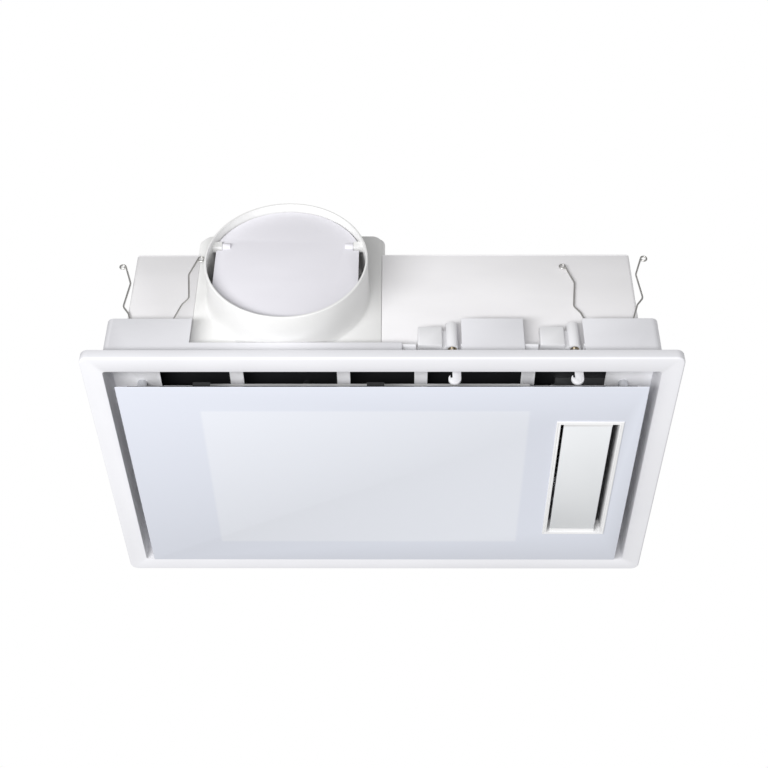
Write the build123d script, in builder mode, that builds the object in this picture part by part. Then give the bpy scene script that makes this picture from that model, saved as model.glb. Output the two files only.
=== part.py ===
"""Recessed ceiling heater, exhaust fan and light with a glass panel, as separate pieces.

Millimetres. Z = 0 is the underside of the ceiling board, where the bezel's upper rim rests, and
+Z points up into the ceiling. -Y is the side that the duct spigot leaves from, +X is to the right
of someone who stands below on the -Y side and looks along +Y.
"""

from build123d import *
from math import acos, atan2, cos, pi, radians, sin, sqrt
import os

os.makedirs("parts", exist_ok=True)

# Bezel and tray walls
bezel_flange_x = 15.6
bezel_flange_y = 15.1
bezel_height = 10
bezel_corner = 8
bezel_edge_round = 1.8
bezel_skin = 2.5
bezel_rib = 1.6
bezel_rib_pitch = 62
recess_width = 494.4
recess_depth = 296.4
recess_corner = 3
tray_wall = 3.2
tray_upper_wall = 1.8
tray_top = 52
pocket_floor = 3

# Opening for the spigot in the tray's front wall, which runs on into the first clamp's pocket
spigot_gap_start = -173
pocket_reach = 45.2
pocket_margin = 8.4

# Base plate with the air inlet slots
base_underside = 20.8
base_thickness = 1.8
fit_gap = 0.3
slot_spans = ((-204, -140), (-127.5, -41.5), (-29.5, 29.5), (41.5, 127.5), (140, 205))
slot_edge = 21.6
slot_depth = 36
slot_margin = 4.6
hook_leg_x = (67.2, 177)
hook_leg = 7.7
hook_lobe = 5.7
hook_thickness = 3
hook_lobe_z = -2.5

# Housing above the ceiling
side_room = 12
spring_room = 14.1
housing_wall = 2
housing_top = 151.6
housing_round = 3
bead_pitch = 92
bead_width = 12
bead_rise = 0.8

# Blower deck, a shallow inverted pan that makes the inlet plenum
deck_side_gap = 2.6
deck_front_gap = 0.5
deck_wall = 2
deck_top = 38.5
deck_thickness = 2.5
heater_inlet_x = (30, 104)
heater_inlet_margin = 3
deck_screw_x = (-215, -70, 132)
deck_screw_y = 80
deck_boss = 4.5
deck_screw_hole = 2.1
deck_screw_head = 3.8
deck_screw_head_height = 1.8
deck_screw_length = 12

# Cable gland
gland_x = 118
gland_z = 112
gland_bore = 6.5
gland_thread = 9.8
gland_hexagon = 13.5

# Duct spigot and its backdraft damper
spigot_x = -88
spigot_z = 99
spigot_radius = 75
spigot_root_radius = 76
spigot_bore = 73
spigot_root_round = 4
spigot_length = 45.4
spigot_straight = 28.9
spigot_lead = 0.8
plate_width = 174
plate_top = 176
plate_corner = 10
plate_proud = 0.5
plate_thickness = 2.7
tongue_width = 3
tongue_thickness = 1.8
window_x = (-150, -26)
window_sill = 1.5
damper_depth = 9.4
damper_hinge_rise = 24.8
damper_thickness = 1.6
damper_radius = 71.6
damper_half_width = 66.3
damper_pin = 1.5
running_gap = 0.06
lug_inner = 61
lug_half = 3.5
stop_drop = 65
stop_height = 4
stop_width = 8
stop_depth = 2.7
stop_spread = 35

# Exhaust blower
exhaust_x = -152
exhaust_y = 30
exhaust_radius = 56
exhaust_blades = 24
blade_ring = 9
blade_thickness = 1.1
scroll_wall = 2
scroll_top = 142
scroll_shift = (-5, 4)
scroll_gap = 10
scroll_step = 14
foot_radius = 7
foot_reach = 6
exhaust_low = 46
exhaust_high = 104
inlet_eye = 46
inlet_flange = 11
inlet_sheet = 1.6
shaft_radius = 3
exhaust_motor_radius = 34
exhaust_motor_gap = 8
motor_ear_reach = 4
motor_ear_radius = 6
motor_ear_thickness = 3

# Heater blower, a long drum that turns about Y above the outlet duct
drum_offset = 21.65
drum_z = 98
drum_radius = 28
drum_end_gap = 6
drum_blades = 16
drum_ring = 7
casing_wall = 1.8
casing_bottom = 62
casing_inset = 4.5
heater_motor_radius = 22
heater_motor_length = 24

# Outlet duct, frame and vane
outlet_x = 189.65
outlet_width = 53.7
duct_wall = 1.6
collar_top = -4
frame_side = 3.9
frame_end = 3.5
frame_lip = 1.2
vane_left_gap = 3.2
vane_right_gap = 6.2
vane_end_gap = 4.5
vane_face = 2.2
vane_pivot_z = -7.5
vane_pin = 2
ledge_depth = 4
motor_room = 22

# Heating element with its cross fins, and the thermal cut-out beside it
element_low = 44
element_height = 14
element_bar = 3
element_end = 8
fin_pitch = 8
fin_thickness = 0.9
cutout_radius = 6.5

# Glass panel and what hangs behind it
panel_side_gap = 10.2
panel_end_gap = 11.3
panel_thickness = 3
panel_underside = -18
panel_corner = 1
carrier_sheet = 1.2
carrier_rim = 6
carrier_inset = 9
catch_x = (-161.7, -5.6)
catch_width = 15.6
catch_top = -4.4
light_x = (-164, 133.4)
light_half_depth = 103.5
light_box_top = 12
light_box_wall = 1.5
led_rows = 5
led_columns = 8
standoff_inset = 15.3
standoff_y = 98
standoff_back_y = 118
standoff_radius = 4.5

# Driver, control module and terminal block on the deck
deck_edge = 1
driver_x = (20, 140)
driver_depth = 35
driver_height = 27
control_x = (6, 132)
control_depth = 33
control_height = 22
control_front = 4
terminal_x = (150, 228)
terminal_depth = 34
terminal_foot = 6
terminal_height = 20
terminal_ways = 6
terminal_pitch = 11

# Ceiling clamps
clamp_room = 0.4
clamp_places = (63.2, 173)
arm_back = 2
hub_radius = 5.7
hub_low = 20.6
hub_high = 50.4
arm_near = 9.3
arm_far = 30.8
arm_low = 20.8
arm_high = 42.7
arm_thickness = 8.5
insert_radius = 4
insert_length = 8
screw_radius = 2.4
screw_tip = 51.7
screw_head_radius = 4.2
screw_head_height = 2.8

# Torsion springs that hold the tray up to the housing
spring_places = (-210, 209)
spring_z = 30
spring_wire = 1.8
coil_radius = 5.5
coil_turns = 1.5
coil_pitch = 2.6
coil_gap = 0.6
spring_arm = ((16.5, 14), (25.4, 42), (31.3, 50.5), (28.1, 81), (35.4, 103.5))
spring_bend = 7
eye_radius = 2.7
wire_sides = 6


def span_box(low, high, mode=Mode.ADD):
    """A box between two opposite corners, inside the running part."""
    size = [top - bottom for bottom, top in zip(low, high)]
    middle = [(top + bottom) / 2 for bottom, top in zip(low, high)]
    with Locations(tuple(middle)):
        Box(*size, mode=mode)


def finish(piece, name):
    """Name a finished piece and write it to its own file."""
    piece.part.label = name
    export_step(piece.part, f"parts/{name}.step")


def turned(side):
    """The frame of the front half for side 0, and of the rear half, a half turn round, for 1."""
    facing = 1 - 2 * side
    return Plane(origin=(0, 0, 0), x_dir=(facing, 0, 0), z_dir=(0, 0, 1))


# Derived sizes and places that several pieces share
base_top = base_underside + base_thickness
wall_outer_width = recess_width + 2 * tray_wall
wall_outer_depth = recess_depth + 2 * tray_wall
bezel_width = wall_outer_width + 2 * bezel_flange_x
bezel_depth = wall_outer_depth + 2 * bezel_flange_y
upper_inner_width = wall_outer_width - 2 * tray_upper_wall
upper_inner_depth = wall_outer_depth - 2 * tray_upper_wall
clamp_y = hub_radius + clamp_room - upper_inner_depth / 2
clamp_pockets = [(place - pocket_reach, place + pocket_margin) for place in clamp_places]

housing_width = upper_inner_width - 2 * side_room
housing_depth = upper_inner_depth - 2 * spring_room
housing_front = -housing_depth / 2
spring_y = -(upper_inner_depth + housing_depth) / 4
plate_face_y = housing_front - plate_proud
plate_back_y = plate_face_y + plate_thickness
tongue_back_y = plate_back_y + tongue_thickness
spigot_rim_y = plate_face_y - spigot_length
damper_y = spigot_rim_y + damper_depth
window_z = (deck_top + window_sill, scroll_top)
deck_width = housing_width - 2 * housing_wall - 2 * deck_side_gap
deck_depth = -2 * (tongue_back_y + deck_front_gap)
deck_back = deck_depth / 2 - deck_edge

scroll_x = exhaust_x + scroll_shift[0]
scroll_y = exhaust_y + scroll_shift[1]
second_x = scroll_x + scroll_step
third_y = scroll_y - scroll_step
first_radius = exhaust_radius + scroll_gap
second_radius = first_radius + scroll_step
third_radius = second_radius + scroll_step

slot_far = upper_inner_depth / 2 - slot_edge
slot_near = slot_far - slot_depth
duct_outer_width = outlet_width + 2 * duct_wall
duct_outer_length = 2 * (slot_near - slot_margin - fit_gap)
outlet_length = duct_outer_length - 2 * duct_wall
frame_width = outlet_width + 2 * frame_side
frame_length = outlet_length + 2 * frame_end
vane_x = outlet_x + (vane_left_gap - vane_right_gap) / 2
vane_width = outlet_width - vane_left_gap - vane_right_gap
vane_length = outlet_length - 2 * vane_end_gap
casing_end = outlet_length / 2 - casing_inset
drum_length = 2 * (casing_end - drum_end_gap)
drum_x = outlet_x - drum_offset
heater_inlet_y = drum_length / 2 + heater_inlet_margin

panel_width = recess_width - 2 * panel_side_gap
panel_depth = recess_depth - 2 * panel_end_gap
panel_top = panel_underside + panel_thickness
carrier_top = panel_top + carrier_sheet

# Bezel: the moulded frame below the ceiling with the walls that go up through the cut-out
with BuildPart() as bezel_tray:
    with BuildSketch(Plane.XY.offset(-bezel_height)):
        RectangleRounded(bezel_width, bezel_depth, bezel_corner)
    extrude(amount=bezel_height)
    fillet(bezel_tray.faces().sort_by(Axis.Z)[0].edges(), bezel_edge_round)
    with BuildSketch(Plane.XY):
        RectangleRounded(
            bezel_width - 2 * bezel_skin,
            bezel_depth - 2 * bezel_skin,
            bezel_corner - bezel_skin,
        )
    extrude(amount=bezel_skin - bezel_height, mode=Mode.SUBTRACT)
    with BuildSketch(Plane.XY.offset(-bezel_height + bezel_skin)):
        rib_places = int(wall_outer_width / bezel_rib_pitch)
        with GridLocations(bezel_rib_pitch, 1, rib_places, 1):
            Rectangle(bezel_rib, bezel_depth - bezel_skin)
        with GridLocations(1, bezel_rib_pitch, 1, int(wall_outer_depth / bezel_rib_pitch)):
            Rectangle(bezel_width - bezel_skin, bezel_rib)
    extrude(amount=bezel_height - bezel_skin - 1)
    with BuildSketch(Plane.XY.offset(-bezel_height + bezel_skin / 2)):
        RectangleRounded(wall_outer_width, wall_outer_depth, recess_corner + tray_wall)
    extrude(amount=tray_top + bezel_height - bezel_skin / 2)
    with BuildSketch(Plane.XY.offset(-bezel_height)):
        RectangleRounded(recess_width, recess_depth, recess_corner)
    extrude(amount=bezel_height + tray_top, mode=Mode.SUBTRACT)
    with BuildSketch(Plane.XY.offset(base_underside)):
        RectangleRounded(upper_inner_width, upper_inner_depth, recess_corner)
    extrude(amount=tray_top - base_underside, mode=Mode.SUBTRACT)
    outside = -wall_outer_depth / 2 - 1
    inside = -recess_depth / 2 + 1
    span_box(
        (spigot_gap_start, outside, base_top),
        (clamp_pockets[0][0], inside, tray_top + 1),
        Mode.SUBTRACT,
    )
    for side in (0, 1):
        facing = 1 - 2 * side
        for left, right in clamp_pockets:
            ends = sorted((facing * left, facing * right))
            depths = sorted((facing * outside, facing * inside))
            span_box(
                (ends[0], depths[0], pocket_floor),
                (ends[1], depths[1], tray_top + 1),
                Mode.SUBTRACT,
            )
    # Tabs on the recess wall that the clamp screws bear on
    for side in (0, 1):
        for place in clamp_places:
            with BuildSketch(turned(side)) as tab:
                with Locations((place, clamp_y)):
                    Circle(hub_radius + 1)
                with Locations((place, (clamp_y - recess_depth / 2) / 2)):
                    Rectangle(2 * hub_radius + 2, recess_depth / 2 + clamp_y)
                with Locations((place, clamp_y)):
                    Circle(screw_radius + fit_gap, mode=Mode.SUBTRACT)
            extrude(amount=pocket_floor)
finish(bezel_tray, "bezel_tray")

# Base plate: the ceiling of the recess, with two rows of inlet slots and the panel's hooks
with BuildPart() as base_plate:
    with BuildSketch(Plane.XY.offset(base_underside)):
        RectangleRounded(
            upper_inner_width - 2 * fit_gap, upper_inner_depth - 2 * fit_gap, recess_corner
        )
        for side in (0, 1):
            facing = 1 - 2 * side
            for left, right in slot_spans:
                with Locations(((left + right) / 2, -facing * (slot_near + slot_far) / 2)):
                    Rectangle(right - left, slot_depth, mode=Mode.SUBTRACT)
            for place in clamp_places:
                notch_left = place - arm_far - 2
                notch_right = place + hub_radius + 2
                notch_back = clamp_y + hub_radius + 1
                notch_middle = (notch_back - upper_inner_depth / 2) / 2
                with Locations((facing * (notch_left + notch_right) / 2, facing * notch_middle)):
                    Rectangle(
                        notch_right - notch_left,
                        upper_inner_depth / 2 + notch_back,
                        mode=Mode.SUBTRACT,
                    )
        with Locations((outlet_x, 0)):
            Rectangle(
                duct_outer_width + 2 * fit_gap, duct_outer_length + 2 * fit_gap, mode=Mode.SUBTRACT
            )
        for x in deck_screw_x:
            with Locations((x, -deck_screw_y), (x, deck_screw_y)):
                Circle(deck_screw_hole, mode=Mode.SUBTRACT)
    extrude(amount=base_thickness)
finish(base_plate, "base_plate")

# J-shaped hooks in front of the slots, which the panel hangs from while it is cleaned
with BuildPart() as panel_hooks:
    for leg_x in hook_leg_x:
        with BuildSketch(Plane.XZ.offset(slot_far)) as hook:
            leg_length = base_underside - hook_lobe_z
            with Locations((leg_x, base_underside - leg_length / 2)):
                Rectangle(hook_leg, leg_length)
            lobe_x = leg_x + hook_leg / 2 - hook_lobe
            with Locations((lobe_x, hook_lobe_z)):
                Circle(hook_lobe)
            throat = hook_lobe / 3
            throat_x = leg_x - hook_leg / 2 - throat / 2
            with Locations((throat_x, hook_lobe_z + throat)):
                Circle(throat / 2, mode=Mode.SUBTRACT)
            with Locations((throat_x, hook_lobe_z + throat + hook_lobe / 2)):
                Rectangle(throat, hook_lobe, mode=Mode.SUBTRACT)
        extrude(amount=hook_thickness)
finish(panel_hooks, "panel_hooks")

# Blower deck: inverted pan above the slots, with the two blowers' inlets
with BuildPart() as blower_deck:
    with BuildSketch(Plane.XY.offset(base_top)):
        RectangleRounded(deck_width, deck_depth, 4)
    extrude(amount=deck_top - base_top)
    with BuildSketch(Plane.XY.offset(base_top)):
        RectangleRounded(deck_width - 2 * deck_wall, deck_depth - 2 * deck_wall, 2)
    extrude(amount=deck_top - base_top - deck_thickness, mode=Mode.SUBTRACT)
    with BuildSketch(Plane.XY.offset(deck_top)):
        with Locations((exhaust_x, exhaust_y)):
            Circle(inlet_eye + 2)
        with Locations((sum(heater_inlet_x) / 2, 0)):
            Rectangle(heater_inlet_x[1] - heater_inlet_x[0], 2 * heater_inlet_y)
        with Locations((outlet_x, 0)):
            Rectangle(duct_outer_width + 2 * fit_gap, duct_outer_length + 2 * fit_gap)
    extrude(amount=-deck_thickness, mode=Mode.SUBTRACT)
    # Bosses for the screws from below
    with BuildSketch(Plane.XY.offset(base_top)):
        for x in deck_screw_x:
            with Locations((x, -deck_screw_y), (x, deck_screw_y)):
                Circle(deck_boss)
                Circle(deck_screw_hole - 0.2, mode=Mode.SUBTRACT)
    extrude(amount=deck_top - base_top - deck_thickness)
finish(blower_deck, "blower_deck")

# Housing: four moulded walls, open below, the front one slotted for the spigot plate
wall_top = housing_top - housing_wall


def plate_slot(top):
    """Cut the guide that the spigot's plate and its tongues slide down into, up to a height."""
    half_plate = plate_width / 2 + fit_gap
    for half, front in (
        (half_plate, housing_front - 1),
        (half_plate + tongue_width, housing_front + housing_wall),
    ):
        span_box(
            (spigot_x - half, front, base_top - 1),
            (spigot_x + half, tongue_back_y + fit_gap, top),
            Mode.SUBTRACT,
        )


with BuildPart() as housing_shell:
    with BuildSketch(Plane.XY.offset(base_top)):
        RectangleRounded(housing_width, housing_depth, housing_round)
        RectangleRounded(
            housing_width - 2 * housing_wall,
            housing_depth - 2 * housing_wall,
            housing_round / 2,
            mode=Mode.SUBTRACT,
        )
    extrude(amount=wall_top - base_top)
    plate_slot(wall_top + 1)
    with Locations(Plane((gland_x, housing_depth / 2, gland_z), x_dir=(1, 0, 0), z_dir=(0, 1, 0))):
        Cylinder(gland_thread + 0.4, 4 * housing_wall, mode=Mode.SUBTRACT)
finish(housing_shell, "housing_shell")

# Housing lid: the closed top, with shallow stiffening beads
with BuildPart() as housing_lid:
    with BuildSketch(Plane.XY.offset(wall_top)):
        RectangleRounded(housing_width, housing_depth, housing_round)
    extrude(amount=housing_wall)
    chamfer(housing_lid.faces().sort_by(Axis.Z)[-1].edges(), housing_wall / 2)
    with BuildSketch(Plane.XY.offset(housing_top)):
        with GridLocations(bead_pitch, 1, 5, 1):
            SlotOverall(housing_depth * 0.7, bead_width, rotation=90)
    extrude(amount=bead_rise)
    plate_slot(housing_top + 1)
finish(housing_lid, "housing_lid")

# Duct spigot: the round collar on a plate that slides into the housing's front wall
hinge_z = spigot_z + damper_hinge_rise
with BuildPart() as duct_spigot:
    for back_y, width, amount in (
        (plate_back_y, plate_width, plate_thickness),
        (tongue_back_y, plate_width + 2 * tongue_width, tongue_thickness),
    ):
        with BuildSketch(Plane.XZ.offset(-back_y)) as outline:
            with Locations((spigot_x, (base_top + plate_top) / 2)):
                Rectangle(width, plate_top - base_top)
            fillet(outline.vertices().group_by(Axis.Y)[-1], plate_corner)
        extrude(amount=amount)
    with BuildSketch(Plane((spigot_x, 0, spigot_z), x_dir=(1, 0, 0), z_dir=(0, 0, 1))) as collar:
        with BuildLine():
            Polyline(
                (0, plate_back_y),
                (0, spigot_rim_y),
                (spigot_radius - spigot_lead * 3 / 4, spigot_rim_y),
                (spigot_radius, spigot_rim_y + spigot_lead),
                (spigot_radius, spigot_rim_y + spigot_straight),
                (spigot_root_radius, plate_face_y - spigot_root_round),
                (spigot_root_radius + spigot_root_round * 0.3, plate_face_y - spigot_root_round * 0.3),
                (spigot_root_radius + spigot_root_round, plate_face_y),
                (spigot_root_radius + spigot_root_round, plate_back_y),
                (0, plate_back_y),
            )
        make_face()
    revolve(axis=Axis((spigot_x, 0, spigot_z), (0, 1, 0)))
    with BuildSketch(Plane.XZ.offset(-plate_face_y)):
        with Locations((spigot_x, spigot_z)):
            Circle(spigot_bore)
    extrude(amount=plate_face_y - spigot_rim_y, mode=Mode.SUBTRACT)
    with BuildSketch(Plane.XZ.offset(1 - plate_face_y)) as window:
        with Locations((sum(window_x) / 2, sum(window_z) / 2)):
            Rectangle(window_x[1] - window_x[0], window_z[1] - window_z[0])
        with Locations((spigot_x, spigot_z)):
            Circle(spigot_bore, mode=Mode.INTERSECT)
    extrude(amount=plate_face_y - tongue_back_y - 2, mode=Mode.SUBTRACT)
    # The root is trimmed level with the foot of the plate, where it stands on the base plate
    span_box(
        (spigot_x - spigot_radius, plate_face_y - spigot_radius, 0),
        (spigot_x + spigot_radius, tongue_back_y, base_top),
        Mode.SUBTRACT,
    )
    # Hinge lugs inside the collar with the damper's pivot holes, and stops for its lower edge
    stop_y = damper_y + damper_thickness / 2 + fit_gap
    for hand in (-1, 1):
        with BuildSketch(Plane.XZ.offset(-damper_y - lug_half)):
            with Locations((spigot_x + hand * (lug_inner + spigot_bore) / 2, hinge_z)):
                Rectangle(spigot_bore - lug_inner, 2 * lug_half)
            with Locations((spigot_x, spigot_z)):
                Circle(spigot_bore + 1, mode=Mode.INTERSECT)
        extrude(amount=2 * lug_half)
        with BuildSketch(Plane.XZ.offset(-stop_y - stop_depth)):
            with Locations((spigot_x + hand * stop_spread, spigot_z - stop_drop + stop_height / 2)):
                Rectangle(stop_width, stop_height)
            with Locations((spigot_x, spigot_z)):
                Circle(spigot_bore + 1, mode=Mode.INTERSECT)
        extrude(amount=stop_depth)
    with Locations(Plane((spigot_x, damper_y, hinge_z), x_dir=(0, 1, 0), z_dir=(1, 0, 0))):
        Cylinder(damper_pin + running_gap, 2 * (spigot_bore - 6), mode=Mode.SUBTRACT)
finish(duct_spigot, "duct_spigot")

# Damper: the flap that hangs on two pins above its middle and closes the collar by its weight
with BuildPart() as damper_flap:
    with BuildSketch(Plane.XZ.offset(-damper_y - damper_thickness / 2)) as blank:
        with Locations((spigot_x, spigot_z)):
            Circle(damper_radius)
        for hand in (-1, 1):
            with Locations((spigot_x + hand * (damper_half_width + 5), hinge_z - damper_radius)):
                Rectangle(10, 2 * damper_radius, mode=Mode.SUBTRACT)
            with Locations((spigot_x + hand * (lug_inner + 6 - fit_gap), hinge_z)):
                Rectangle(12, 2 * lug_half + 4, mode=Mode.SUBTRACT)
    extrude(amount=damper_thickness)
    with Locations(Plane((spigot_x, damper_y, hinge_z), x_dir=(0, 1, 0), z_dir=(1, 0, 0))):
        for hand in (-1, 1):
            with Locations((0, 0, hand * (lug_inner - 4))):
                Cylinder(lug_half, 8 - 2 * fit_gap)
            with Locations((0, 0, hand * (lug_inner + 1))):
                Cylinder(damper_pin, 9)
finish(damper_flap, "damper_flap")


def volute_outline():
    """The scroll's inner outline, growing in two steps from the tongue round to the outlet."""
    with BuildLine() as outline:
        cut_off = CenterArc((scroll_x, scroll_y), first_radius, 180, 110)
        CenterArc((second_x, scroll_y), second_radius, 90, 90)
        CenterArc((second_x, third_y), third_radius, 0, 90)
        Polyline(
            (second_x + third_radius, third_y),
            (window_x[1], tongue_back_y),
            (window_x[0], tongue_back_y),
            cut_off @ 1,
        )
    return outline.line.edges()


def fan_blade(inner, outer, lean, thickness):
    """The outline of one forward-curved blade, in two flats from the inner radius to the outer."""
    angle = radians(lean)
    tip = (outer * cos(angle), outer * sin(angle))
    knee = ((inner + tip[0]) / 2 + tip[1] / 5, tip[1] / 3)
    with BuildLine() as outline:
        Polyline(
            (inner, 0),
            knee,
            tip,
            (tip[0], tip[1] + thickness),
            (knee[0], knee[1] + thickness),
            (inner, thickness),
            close=True,
        )
    return outline.line.edges()


def along_y(x, y, z):
    """A plane at a point, facing +Y, for shafts and cans that lie across the part."""
    return Plane((x, y, z), x_dir=(1, 0, 0), z_dir=(0, 1, 0))


# Exhaust scroll: the volute's wall, which blows straight out through the spigot
foot_wall_x = second_x + third_radius
foot_wall_y = third_y - second_radius / 2
foot_share = (third_y - foot_wall_y) / (third_y - tongue_back_y)
foot_wall_x += foot_share * (window_x[1] - foot_wall_x)
foot_places = [(foot_wall_x + foot_reach, foot_wall_y)]
for centre_x, centre_y, radius, bearing in (
    (scroll_x, scroll_y, first_radius, 225),
    (second_x, scroll_y, second_radius, 150),
    (second_x, third_y, third_radius, 45),
):
    reach = radius + foot_reach
    foot_places.append(
        (centre_x + reach * cos(radians(bearing)), centre_y + reach * sin(radians(bearing)))
    )


def volute_blank():
    """The volute's outer outline, cut off square behind the spigot's plate."""
    make_face(volute_outline())
    offset(amount=scroll_wall)
    with Locations((exhaust_x, tongue_back_y - 5)):
        Rectangle(400, 10, mode=Mode.SUBTRACT)


with BuildPart() as exhaust_scroll:
    with BuildSketch(Plane.XY.offset(deck_top)) as volute:
        volute_blank()
        make_face(volute_outline(), mode=Mode.SUBTRACT)
    extrude(amount=scroll_top - deck_top)
    # Feet with screw holes round the foot of the wall
    with BuildSketch(Plane.XY.offset(deck_top)):
        with Locations(*foot_places):
            Circle(foot_radius)
            Circle(2, mode=Mode.SUBTRACT)
        make_face(volute_outline(), mode=Mode.SUBTRACT)
    extrude(amount=3)
finish(exhaust_scroll, "exhaust_scroll")

# Scroll cover: the flat plate that closes the volute and carries the motor
with BuildPart() as scroll_cover:
    with BuildSketch(Plane.XY.offset(scroll_top)) as cover:
        volute_blank()
    extrude(amount=scroll_wall)
finish(scroll_cover, "scroll_cover")

# Inlet ring: bell mouth that leads the air from the plenum into the impeller's eye
with BuildPart() as inlet_ring:
    with BuildSketch(Plane((exhaust_x, exhaust_y, deck_top), x_dir=(1, 0, 0), z_dir=(0, -1, 0))):
        mouth_top = exhaust_low + 3 - deck_top
        throat = inlet_eye - 0.4
        with BuildLine():
            Polyline(
                (inlet_eye + 2, 0),
                (inlet_eye + inlet_flange, 0),
                (inlet_eye + inlet_flange, inlet_sheet),
                (inlet_eye + 2, inlet_sheet),
                (throat, inlet_sheet + 2.4),
                (throat, mouth_top),
                (throat - inlet_sheet, mouth_top),
                (throat - inlet_sheet, inlet_sheet + 2),
                close=True,
            )
        make_face()
    revolve(axis=Axis((exhaust_x, exhaust_y, 0), (0, 0, 1)))
finish(inlet_ring, "inlet_ring")

# Exhaust impeller: forward-curved blades between a back plate and a shroud ring
with BuildPart() as exhaust_impeller:
    with Locations((exhaust_x, exhaust_y, exhaust_high - 1)):
        Cylinder(exhaust_radius, 2)
    with Locations((exhaust_x, exhaust_y, exhaust_high - 10)):
        Cylinder(12, 20)
    with BuildSketch(Plane.XY.offset(exhaust_low)):
        with Locations((exhaust_x, exhaust_y)):
            Circle(exhaust_radius)
            Circle(exhaust_radius - blade_ring - 0.4, mode=Mode.SUBTRACT)
    extrude(amount=2.5)
    with BuildSketch(mode=Mode.PRIVATE) as ring_blade:
        make_face(fan_blade(exhaust_radius - blade_ring, exhaust_radius - 1.2, 7, blade_thickness))
    with BuildSketch(Plane.XY.offset(exhaust_low + 1)) as ring_blades:
        with Locations((exhaust_x, exhaust_y)):
            with PolarLocations(0, exhaust_blades):
                add(ring_blade.sketch_local)
    extrude(amount=exhaust_high - exhaust_low - 2)
    with Locations((exhaust_x, exhaust_y, exhaust_high - 10)):
        Cylinder(shaft_radius, 30, mode=Mode.SUBTRACT)
finish(exhaust_impeller, "exhaust_impeller")

exhaust_shaft_ends = (exhaust_high - 22, scroll_top - 8)
with BuildPart() as exhaust_shaft:
    with Locations((exhaust_x, exhaust_y, sum(exhaust_shaft_ends) / 2)):
        Cylinder(shaft_radius, exhaust_shaft_ends[1] - exhaust_shaft_ends[0])
    chamfer(exhaust_shaft.edges().filter_by(GeomType.CIRCLE), 0.5)
finish(exhaust_shaft, "exhaust_shaft")

# Exhaust motor: a can with a bearing boss and three ears, hung from the scroll's top
motor_floor = exhaust_high + exhaust_motor_gap
with BuildPart() as exhaust_motor:
    with Locations((exhaust_x, exhaust_y, (motor_floor + scroll_top) / 2)):
        Cylinder(exhaust_motor_radius, scroll_top - motor_floor)
    chamfer(exhaust_motor.faces().sort_by(Axis.Z)[0].edges(), 2)
    with Locations((exhaust_x, exhaust_y, motor_floor - 1.5)):
        Cylinder(9, 5)
    with Locations((exhaust_x, exhaust_y, scroll_top - motor_ear_thickness / 2)):
        with PolarLocations(exhaust_motor_radius + motor_ear_reach, 3):
            Cylinder(motor_ear_radius, motor_ear_thickness)
    with Locations((exhaust_x, exhaust_y, motor_floor + 8)):
        Cylinder(shaft_radius + running_gap, 30, mode=Mode.SUBTRACT)
finish(exhaust_motor, "exhaust_motor")

# Heater scroll: rear wall and tongue of a crossflow casing between two end plates
casing_x = (outlet_x - outlet_width / 2, outlet_x + outlet_width / 2)
rear_radius = casing_x[1] - drum_x + 1
with BuildPart() as heater_scroll:
    with BuildSketch(Plane.XZ.offset(-casing_end)) as walls:
        # The rear wall starts over the drum and sweeps down to the duct, further off all the way
        with Locations((casing_x[1] - rear_radius, drum_z - rear_radius / 4)):
            Circle(rear_radius + casing_wall)
            Circle(rear_radius, mode=Mode.SUBTRACT)
            with Locations((-rear_radius - 12, 0)):
                Rectangle(2 * rear_radius, 4 * rear_radius, mode=Mode.SUBTRACT)
            with Locations((0, -rear_radius)):
                Rectangle(4 * rear_radius, 2 * rear_radius, mode=Mode.SUBTRACT)
        with Locations((casing_x[1] + casing_wall / 2, (casing_bottom + drum_z - rear_radius / 4) / 2)):
            Rectangle(casing_wall, drum_z - rear_radius / 4 - casing_bottom)
        # The tongue stands over the duct's other side, just clear of the drum
        with BuildLine():
            Polyline(
                (casing_x[0] - duct_wall, casing_bottom),
                (casing_x[0], casing_bottom),
                (casing_x[0] - 5, casing_bottom + 7.5),
                (casing_x[0] - 13, casing_bottom + 9.9),
                (casing_x[0] - 13, casing_bottom + 8),
                (casing_x[0] - 6.4, casing_bottom + 6),
                close=True,
            )
        make_face()
    extrude(amount=2 * casing_end)
    for hand in (-1, 1):
        with BuildSketch(Plane.XZ.offset(hand * (casing_end - 1))) as cheek:
            with BuildLine():
                Polyline(
                    (casing_x[0] - 14, casing_bottom),
                    (casing_x[0] - 20, drum_z),
                    (drum_x - 14, drum_z + rear_radius * 0.75 + casing_wall),
                    (drum_x + rear_radius * 0.6, drum_z + rear_radius * 0.75 + casing_wall),
                    (casing_x[1] + casing_wall, drum_z + rear_radius / 3),
                    (casing_x[1] + casing_wall, casing_bottom),
                    close=True,
                )
            make_face()
            with Locations((drum_x, drum_z)):
                Circle(6, mode=Mode.SUBTRACT)
        extrude(amount=1, both=True)
    with BuildSketch(Plane.XY.offset(casing_bottom)):
        with Locations((outlet_x, 0)):
            Rectangle(duct_outer_width, duct_outer_length)
            Rectangle(outlet_width, 2 * casing_end - 2, mode=Mode.SUBTRACT)
    extrude(amount=casing_wall)
finish(heater_scroll, "heater_scroll")

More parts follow.
